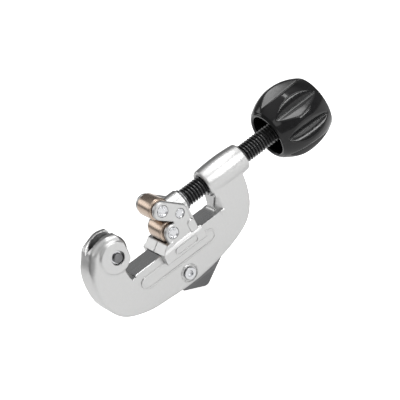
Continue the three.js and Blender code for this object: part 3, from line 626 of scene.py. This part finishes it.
# slide halves, x from the rollers' axes and depth from the parting line
slideSizes = {
    "rollers": 29.5, "rise": 6.4, "rivetX": 7.4, "edge": 1.1, "mesh": 0.25, "partingGap": 0.1, "foot": -13.5,
    "cheekDepth": 7.5, "cheekHalf": 1.3, "socketRadius": 6.2, "rollerRoom": 6.2, "cheekInner": 6.2,
    "pinHole": 2.3, "pinSeat": 3.0, "seatFrom": 7.7, "rivetHole": 1.6, "rivetSeat": 2.5,
    "noseSlope": 0.78, "labelZ": -15.5, "labelRadius": 1.9, "headRoom": 4.5, "neckRoom": 3.2}
slideSection = [
    (0.1, -13.5), (6.6, -13.5), (6.6, -17.0), (7.2, -17.0), (7.2, -18.5), (9.5, -18.5), (10, -18.0),
    (10, -12.9), (8.7, -11.6), (6.2, -11.6), (0.1, -11.6)]


def cheekField(x, depth, z):
    rise, rivet = slideSizes["rise"], (slideSizes["rivetX"], 0)
    lobes = linkDistance(x, z, (0, rise), 4.8, rivet, 4.6)
    lobes = np.minimum(lobes, linkDistance(x, z, rivet, 4.6, (6.4, -9.5), 5))
    lobes = np.minimum(lobes, linkDistance(x, z, (0.2, -rise), 4.4, (1.4, -9.5), 5.6))
    return roundMax(lobes, slab(depth, slideSizes["cheekDepth"], slideSizes["cheekHalf"]), slideSizes["edge"])


def slideBody(x, depth, z, fromAxis):
    skirt = roundMax(polygonDistance(depth, z, slideSection), slab(x, 2.1, 12), 0.3)
    nose = roundMax(np.maximum(slab(x, -5.95, 3.95), slab(z, -11.75, 1.75)), slab(depth, 4.55, 4.45), 0.2)
    saddle = np.maximum(np.maximum(slab(x, 8.85, 4.45), slab(z, -6.75, 6.75)), slab(depth, 3.4, 3.3))
    socket = roundMax(fromAxis - slideSizes["socketRadius"], slab(x, 9.15, 4.75), 0.5)
    socket = np.maximum(socket, slideSizes["partingGap"] - depth)
    d = softMin(np.minimum(np.minimum(skirt, nose), saddle), socket, 0.4)
    slope = slideSizes["noseSlope"]
    nosePlane = (z + 12.8 - slope * (x + 9.3)) / math.hypot(1, slope)
    return cut(d, np.maximum(-nosePlane, x + 2), 0.25)


def slideField(x, y, z):
    sizes = slideSizes
    x = x - sizes["rollers"]
    depth, fromAxis = -y, np.hypot(y, z)
    d = softMin(slideBody(x, depth, z, fromAxis), cheekField(x, depth, z), 0.35)
    lug = roundMax(linkDistance(x, z, (10.3, -10.8), 2.2, (10.3, -7.8), 2.2), slab(depth, 7.8, 1.6), 0.6)
    d = softMin(d, lug, 0.3)
    radius, height = sizes["labelRadius"], sizes["labelZ"]
    label = linkDistance(x, z, (-1.9, height), radius, (8.0, height), radius)
    d = softMin(d, roundMax(np.abs(label + 0.3) - 0.3, slab(depth, 9.7, 0.7), 0.1), 0.08)
    d = cut(d, np.maximum(z - sizes["foot"], depth - 6.6), 0.15)
    for rise in (sizes["rise"], -sizes["rise"]):
        reach = np.hypot(x, z - rise)
        d = cut(d, np.maximum(reach - sizes["rollerRoom"], depth - sizes["cheekInner"]), 0.15)
        d = cut(d, reach - sizes["pinHole"], 0.1)
        d = cut(d, np.maximum(reach - sizes["pinSeat"], sizes["seatFrom"] - depth), 0.15)
    reach = np.hypot(x - sizes["rivetX"], z)
    d = cut(d, reach - sizes["rivetHole"], 0.1)
    d = cut(d, np.maximum(reach - sizes["rivetSeat"], sizes["seatFrom"] - depth), 0.15)
    # room for the screw's head and neck
    d = cut(d, np.maximum(fromAxis - sizes["headRoom"], slab(x, 10.5, 1.3)), 0.1)
    return cut(d, np.maximum(fromAxis - sizes["neckRoom"], 9.2 - x), 0.1)


def slideFarField(x, y, z):
    return slideField(x, -y, z)


slideNear = castSolid("slideNearHalf", "slide_near_half", slideField, slideSizes["mesh"])
slideFar = castSolid("slideFarHalf", "slide_far_half", slideFarField, slideSizes["mesh"])
for obj, node in ((slideNear, "slide_near_half"), (slideFar, "slide_far_half")):
    obj.data.materials.append(satinCasting)
    handOver(obj, node, "slide")
print("slide done")


# outlines for turned pieces, each point a radius and a place along the axis
def bothEnds(half, middle=()):
    return half + list(middle) + [(radius, -along) for radius, along in reversed(half)]


def ring(inner, outer, start, end):
    return [(inner, start), (outer, start), (outer, end), (inner, end), (inner, start)]


# rollers
rollerSizes = {"radius": 5.6, "half": 5.9, "chamfer": 0.7, "bore": 2.5, "segments": 72}


def rollerOutline():
    radius, half, chamfer = rollerSizes["radius"], rollerSizes["half"], rollerSizes["chamfer"]
    bore = rollerSizes["bore"]
    return bothEnds([(bore, -half), (radius - chamfer, -half), (radius, -half + chamfer)]) + [(bore, -half)]


rollersX, rollerRise = slideSizes["rollers"], slideSizes["rise"]
for node, height in (("upper_roller", rollerRise), ("lower_roller", -rollerRise)):
    place = (rollersX, 0, height)
    obj = turned(node + "_turned", rollerOutline(), turnedBronze, centre=place,
                 Segments=rollerSizes["segments"])
    handOver(obj, node, node)

# cutting wheel
wheelSizes = {
    "bore": 2.7, "hub": 4.6, "hubHalf": 2.1, "root": 5.1, "shoulder": 7.05, "half": 1.1, "radius": 9.25,
    "edge": 0.08, "segments": 96}


def wheelOutline():
    w = wheelSizes
    hub = [(w["bore"], -w["hubHalf"]), (w["hub"], -w["hubHalf"])]
    disc = [(w["root"], -w["half"]), (w["shoulder"], -w["half"])]
    return bothEnds(hub + disc, [(w["radius"], 0)]) + hub[:1]


wheel = turned("cuttingWheel", wheelOutline(), hardSteel, edge=wheelSizes["edge"],
               Segments=wheelSizes["segments"])
handOver(wheel, "cutter_wheel", "wheel")

# wheel pin, with a head on one side and a groove for its clip on the other
wheelPinSizes = {
    "radius": 2.4, "tip": 2.1, "start": -8.0, "bevelEnd": -7.7, "groove": 1.8, "grooveStart": -6.4,
    "grooveEnd": -5.6, "head": 3.2, "headStart": 6.0, "headEnd": 7.5, "edge": 0.1}


def wheelPinOutline():
    p = wheelPinSizes
    tip = [(0, p["start"]), (p["tip"], p["start"]), (p["radius"], p["bevelEnd"])]
    shaft = [(p["radius"], p["grooveStart"])]
    groove = [(p["groove"], p["grooveStart"]), (p["groove"], p["grooveEnd"]), (p["radius"], p["grooveEnd"])]
    head = [(p["radius"], p["headStart"]), (p["head"], p["headStart"]), (p["head"], p["headEnd"])]
    return tip + shaft + groove + head + [(0, p["headEnd"])]


wheelPin = turned("wheelPin", wheelPinOutline(), hardSteel, edge=wheelPinSizes["edge"])
handOver(wheelPin, "wheel_pin", "frame")

# staked pins: both ends are dished, with a rim left standing and two notches punched in the face
stakes = {
    "end": 9.0, "rim": 8.95, "headEnd": 8.7, "headStart": 7.8, "bevel": 0.25, "edge": 0.08, "segments": 72,
    "dishWidth": 0.9, "dish": 0.4, "dishSlope": 2.6, "dishSteps": 14,
    "notch": 0.85, "depth": 0.35, "notchSlope": 1.8, "notchFrom": 8.4}
rollerPin = {"radius": 2.2, "head": 2.9, "notches": [(math.radians(48), 2.0), (math.radians(195), 1.7)]}
slideRivet = {"radius": 1.5, "head": 2.4, "notches": [(math.radians(0), 2.0), (math.radians(265), 1.9)]}


def stakedPin(name, node, pin, x, z):
    radius, head, steps = pin["radius"], pin["head"], stakes["dishSteps"]
    outline = []
    for i in range(steps + 1):
        fall = stakes["dish"] * min(1, (1 - i / steps) * stakes["dishSlope"])
        outline.append((head * stakes["dishWidth"] * i / steps, -stakes["end"] + fall))
    outline += [(head - stakes["bevel"], -stakes["rim"]), (head, -stakes["headEnd"])]
    outline += [(head, -stakes["headStart"]), (radius, -stakes["headStart"])]
    obj = turned(name, bothEnds(outline), zincPlate, centre=(x, 0, z), edge=stakes["edge"],
                 Segments=stakes["segments"])
    middle = Vector(toFrame((x, 0, z)))
    for vertex in obj.data.vertices:
        p = (vertex.co - middle) / millimetre
        if abs(p.y) < stakes["notchFrom"]:
            continue
        for angle, reach in pin["notches"]:
            across = Vector((p.x - reach * math.cos(angle), p.z - reach * math.sin(angle)))
            fall = max(0.0, 1 - across.length / stakes["notch"])
            if fall:
                sunk = stakes["depth"] * min(1, stakes["notchSlope"] * fall)
                vertex.co.y -= math.copysign(sunk * millimetre, p.y)
    obj.data.update()
    return handOver(obj, node, "slide")


stakedPin("upperRollerPin", "upper_roller_pin", rollerPin, rollersX, rollerRise)
stakedPin("lowerRollerPin", "lower_roller_pin", rollerPin, rollersX, -rollerRise)
stakedPin("slideRivet", "slide_rivet", slideRivet, 36.9, 0)

# spring clip on the wheel pin
clipSizes = {
    "outer": 3.15, "inner": 2.0, "mouth": 0.45, "points": 40, "start": -6.35, "end": -5.65, "bevel": 0.1}


def arcPoints(radius, start, end):
    angles = np.linspace(start, end, clipSizes["points"])
    return [(radius * math.cos(a), radius * math.sin(a)) for a in angles]


mouthStart, mouthEnd = clipSizes["mouth"], 2 * math.pi - clipSizes["mouth"]
clipCorners = arcPoints(clipSizes["outer"], mouthStart, mouthEnd)
clipCorners += arcPoints(clipSizes["inner"], mouthEnd, mouthStart)
clip = platePiece("wheelPinClip", clipCorners, clipSizes["start"], clipSizes["end"], zincPlate,
                  clipSizes["bevel"])
handOver(clip, "wheel_pin_clip", "frame")

# reamer's rivet, hollow at both ends, and its two spring washers
rivetSizes = {
    "hollow": 1.5, "floor": 6.1, "end": 7.5, "head": 3.0, "headStart": 6.2, "shank": 2.2, "edge": 0.3,
    "washerInner": 2.5, "washerOuter": 4.2, "washerPlace": 1.55, "washerHalf": 0.2, "washerEdge": 0.05}
pivotCentre = (pivotX, 0, pivotZ)


def rivetOutline():
    p = rivetSizes
    hollow = [(0, -p["floor"]), (p["hollow"], -p["floor"]), (p["hollow"], -p["end"])]
    head = [(p["head"], -p["end"]), (p["head"], -p["headStart"]), (p["shank"], -p["headStart"])]
    return bothEnds(hollow + head)


reamerRivet = turned("reamerRivet", rivetOutline(), zincPlate, centre=pivotCentre, edge=rivetSizes["edge"])
handOver(reamerRivet, "reamer_rivet", "frame")
for node, side in (("reamer_spring_washer_near", -1), ("reamer_spring_washer_far", 1)):
    y, half = side * rivetSizes["washerPlace"], rivetSizes["washerHalf"]
    outline = ring(rivetSizes["washerInner"], rivetSizes["washerOuter"], y - half, y + half)
    obj = turned(node + "_ring", outline, hardSteel, centre=pivotCentre, edge=rivetSizes["washerEdge"])
    handOver(obj, node, "frame")

# thrust washer between the slide and the screw's shoulder
thrustSizes = {"inner": 3.2, "outer": 5.4, "start": 43.7, "end": 44.6, "edge": 0.12}
thrustOutline = ring(thrustSizes["inner"], thrustSizes["outer"], thrustSizes["start"], thrustSizes["end"])
thrustWasher = turned("thrustWasher", thrustOutline, hardSteel, axis="x", edge=thrustSizes["edge"])
handOver(thrustWasher, "thrust_washer", "slide")
print("wheel, pins and rollers done")


# feed screw
screwSizes = {
    "radius": 4.7625, "pitch": 1.5875, "depth": 1.15, "steps": 11, "segments": 56, "edge": 0.02, "sharp": 60,
    "head": 4.2, "headStart": 39.0, "headEnd": 41.0, "neck": 2.9, "shoulder": 44.9, "chamfer": 0.8,
    "bodyStart": 45.7, "threadStart": 45.3, "end": 104.49, "threadBack": 0.4, "runout": 0.0009,
    "tail": 4.0, "tailEnd": 124.49}


def screwOutline():
    s = screwSizes
    radius, neck, shoulder, start = s["radius"], s["neck"], s["shoulder"], s["bodyStart"]
    points = [(0, s["headStart"]), (s["head"], s["headStart"]), (s["head"], s["headEnd"])]
    points += [(neck, s["headEnd"]), (neck, shoulder), (radius - s["chamfer"], shoulder), (radius, start)]
    body = s["end"] - s["chamfer"] - start
    rows = int(body / s["pitch"] * s["steps"])
    points += [(radius, start + body * i / rows) for i in range(1, rows + 1)]
    return points + [(s["tail"], s["end"]), (s["tail"], s["tailEnd"]), (0, s["tailEnd"])]


threadInputs = {
    "Segments": screwSizes["segments"],
    "Thread Pitch": screwSizes["pitch"] * millimetre,
    "Thread Depth": screwSizes["depth"] * millimetre,
    "Thread Start": screwSizes["threadStart"] * millimetre,
    "Thread End": (screwSizes["end"] - screwSizes["threadBack"]) * millimetre,
    "Runout": screwSizes["runout"]}
feedScrew = turned("feedScrew", screwOutline(), blackOxide, axis="x", edge=screwSizes["edge"],
                   sharp=screwSizes["sharp"], **threadInputs)
handOver(feedScrew, "feed_screw", "screw")

# knob: a fluted shell with a hub inside it that takes the screw's tail
knobSizes = {
    "start": 98.49, "length": 30.5, "front": 12.5, "widest": 18.2, "back": 14.6, "mouth": 10.5,
    "frontShare": 0.51, "backShare": 0.49, "frontPower": 2, "backPower": 2.2,
    "crownWidth": 0.92, "crownFall": 0.5, "crownSteps": 6, "rimWidth": 0.98, "rimFall": 1.0,
    "rows": 60, "backRoom": 1.6, "lip": 0.5, "mouthDepth": 2,
    "cavity": 13.4, "cavityStart": 9, "cavityEnd": 18,
    "hub": 6.6, "hubStart": 105.0, "bore": 4.1, "boreEnd": 124.8, "edge": 0.7, "sharp": 50, "segments": 240,
    "flutes": 8, "firstFlute": 2 / 360, "fluteFloor": 14.5, "fluteRise": 0.04, "fluteSlope": 0.68,
    "fluteSoftness": 0.3}


def knobRadius(share):
    k = knobSizes
    if share < k["frontShare"]:
        fall = ((k["frontShare"] - share) / k["frontShare"]) ** k["frontPower"]
        return k["widest"] - (k["widest"] - k["front"]) * fall
    fall = ((share - k["frontShare"]) / k["backShare"]) ** k["backPower"]
    return k["widest"] - (k["widest"] - k["back"]) * fall


def knobOutline():
    k = knobSizes
    start, end, lip, rows, steps = k["start"], k["start"] + k["length"], k["lip"], k["rows"], k["crownSteps"]
    points = [(0, end)]
    for i in range(1, steps + 1):
        points.append((k["back"] * k["crownWidth"] * i / steps, end - k["crownFall"] * (i / steps) ** 2))
    points.append((k["back"] * k["rimWidth"], end - k["rimFall"]))
    for i in range(rows - 1, 1, -1):
        points.append((knobRadius(i / rows), start + i / rows * (k["length"] - k["backRoom"])))
    points += [(k["front"], start + lip), (k["front"] - lip, start), (k["mouth"] + lip, start)]
    points += [(k["mouth"], start + lip), (k["mouth"], start + k["mouthDepth"])]
    points += [(k["cavity"], start + k["cavityStart"]), (k["cavity"], start + k["cavityEnd"])]
    points += [(k["hub"], start + k["cavityEnd"]), (k["hub"], k["hubStart"]), (k["bore"], k["hubStart"])]
    return points + [(k["bore"], k["boreEnd"]), (0, k["boreEnd"])]


knobMiddle = knobSizes["start"] + knobSizes["length"] / 2
fluteInputs = {
    "Segments": knobSizes["segments"],
    "Flutes": knobSizes["flutes"],
    "Flute Rise": knobSizes["fluteRise"],
    "Flute Slope": knobSizes["fluteSlope"],
    "First Flute": knobSizes["firstFlute"],
    "Flute Floor": (knobSizes["fluteFloor"] - knobSizes["fluteRise"] * knobMiddle) * millimetre,
    "Flute Softness": knobSizes["fluteSoftness"] * millimetre}
knob = turned("knob_moulded", knobOutline(), mouldedPlastic, axis="x", edge=knobSizes["edge"],
              sharp=knobSizes["sharp"], **fluteInputs)
handOver(knob, "knob", "screw")

crossPinSizes = {"radius": 1.25, "half": 6.3, "x": 111}
crossOutline = bothEnds([(0, -crossPinSizes["half"]), (crossPinSizes["radius"], -crossPinSizes["half"])])
crossPin = turned("knobCrossPin", crossOutline, hardSteel, axis="z", centre=(crossPinSizes["x"], 0, 0))
handOver(crossPin, "knob_cross_pin", "screw")
print("screw and knob done")


# reamer
bladeSizes = {"half": 1.2, "bevel": 0.35, "segments": 2}
bladeShape = [
    (pivotX + 1, pivotZ + 4.7), (pivotX - 2.6, pivotZ + 4.0), (pivotX - 4.3, pivotZ + 2.1),
    (pivotX - 4.6, pivotZ - 1),
    (pivotX - 4.7, spineBottom - 3.0), (pivotX - 4.4, spineBottom - 3.4), (pivotX + 6.4, spineBottom - 8.5),
    (pivotX + 7.6, spineBottom - 8.6), (pivotX + 8.6, spineBottom - 8.4), (railEnd + 2.5, spineBottom + 3.8),
    (railEnd + 1.5, spineBottom + 4.5), (pivotX + 3.2, pivotZ + 3.6)]
blade = platePiece("reamerBlade", bladeShape, -bladeSizes["half"], bladeSizes["half"], heatTreated,
                   bladeSizes["bevel"], bladeSizes["segments"])
handOver(blade, "reamer_blade", "reamer")
print("reamer done")


# stage, lights and camera
stageSizes = {
    "floorSize": 8, "floorHeight": -0.0002, "floorColor": 0.9, "floorRoughness": 0.9, "floorGlow": 0.3,
    "floorSeen": 0.8, "skyTop": 0.8, "skyBack": 0.17, "skyFront": 0.35, "skyRise": (0.55, 0.9),
    "skyTurn": (-0.2, 0.55), "aim": (0, 0, 0.03)}


def stageMaterial():
    material = bpy.data.materials.new("paleFloor")
    material.use_nodes = True
    nodes, links = material.node_tree.nodes, material.node_tree.links
    shader = nodes["Principled BSDF"]
    shader.inputs["Base Color"].default_value = [stageSizes["floorColor"]] * 3 + [1]
    shader.inputs["Roughness"].default_value = stageSizes["floorRoughness"]
    shader.inputs["Emission Color"].default_value = (1, 1, 1, 1)
    seen = nodes.new("ShaderNodeLightPath")
    glow = nodes.new("ShaderNodeMapRange")
    glow.inputs["To Min"].default_value = stageSizes["floorGlow"]
    glow.inputs["To Max"].default_value = stageSizes["floorSeen"]
    links.new(seen.outputs["Is Camera Ray"], glow.inputs["Value"])
    links.new(glow.outputs[0], shader.inputs["Emission Strength"])
    return material


bpy.ops.mesh.primitive_plane_add(size=stageSizes["floorSize"], location=(0, 0, stageSizes["floorHeight"]))
floor = bpy.context.object
floor.name = "floor"
floor.data.materials.append(stageMaterial())


# place, size and power of each light
lightSizes = {
    "keyLight": ((0.42, -0.84, 0.74), (0.75, 0.42), 3.3),
    "knobStrip": ((0.43, -0.96, 0.36), (0.55, 0.08), 2.2),
    "leftFill": ((-0.7, -0.5, 0.7), (0.4, 0.4), 0.8),
    "topStrip": ((0.38, -0.02, 1.07), (0.9, 0.14), 3.2),
    "backLeft": ((-0.56, 1.14, 0.62), (0.75, 0.5), 2.2)}
for name, (place, size, power) in lightSizes.items():
    light = bpy.data.lights.new(name, "AREA")
    light.shape = "RECTANGLE"
    light.size, light.size_y = size
    light.energy = power
    obj = bpy.data.objects.new(name, light)
    bpy.context.scene.collection.objects.link(obj)
    obj.location = place
    obj.rotation_mode = "QUATERNION"
    obj.rotation_quaternion = (Vector(stageSizes["aim"]) - Vector(place)).to_track_quat("-Z", "Y")

world = bpy.data.worlds.new("studio")
bpy.context.scene.world = world
world.use_nodes = True
skyNodes, skyLinks = world.node_tree.nodes, world.node_tree.links
direction = skyNodes.new("ShaderNodeTexCoord")
parts = skyNodes.new("ShaderNodeSeparateXYZ")
skyLinks.new(direction.outputs["Generated"], parts.inputs[0])
height = skyNodes.new("ShaderNodeMapRange")
height.interpolation_type = "SMOOTHSTEP"
height.inputs["From Min"].default_value, height.inputs["From Max"].default_value = stageSizes["skyRise"]
facing = skyNodes.new("ShaderNodeMapRange")
facing.interpolation_type = "SMOOTHSTEP"
facing.inputs["From Min"].default_value, facing.inputs["From Max"].default_value = stageSizes["skyTurn"]
facing.inputs["To Min"].default_value = stageSizes["skyFront"]
facing.inputs["To Max"].default_value = stageSizes["skyBack"]
skyLinks.new(parts.outputs[2], height.inputs["Value"])
skyLinks.new(parts.outputs[1], facing.inputs["Value"])
blendSky = skyNodes.new("ShaderNodeMix")
blendSky.inputs["B"].default_value = stageSizes["skyTop"]
skyLinks.new(height.outputs[0], blendSky.inputs["Factor"])
skyLinks.new(facing.outputs[0], blendSky.inputs["A"])
skyLinks.new(blendSky.outputs["Result"], skyNodes["Background"].inputs["Strength"])
skyNodes["Background"].inputs["Color"].default_value = (1, 1, 1, 1)
bpy.context.scene.view_settings.view_transform = "Standard"

cameraSetup = {
    "back": (-0.329, -0.813, 0.481), "right": (0.754, -0.533, -0.384), "distance": 850, "across": 41.8,
    "rise": 25.1, "lens": 164.5, "sensor": 36, "nearest": 0.05, "farthest": 20}
c = cameraSetup
back, right = Vector(c["back"]).normalized(), Vector(c["right"]).normalized()
up = back.cross(right).normalized()
right = up.cross(back).normalized()
camera = bpy.data.objects.new("camera", bpy.data.cameras.new("camera"))
bpy.context.scene.collection.objects.link(camera)
camera.data.lens = c["lens"]
camera.data.sensor_width = c["sensor"]
camera.data.clip_start = c["nearest"]
camera.data.clip_end = c["farthest"]
eye = Vector(toFrame(back * c["distance"] + right * c["across"] + up * c["rise"]))
turn = Matrix((right, up, back)).transposed().to_4x4()
camera.matrix_world = Matrix.Translation(eye) @ turn
bpy.context.scene.camera = camera
print("stage ready")
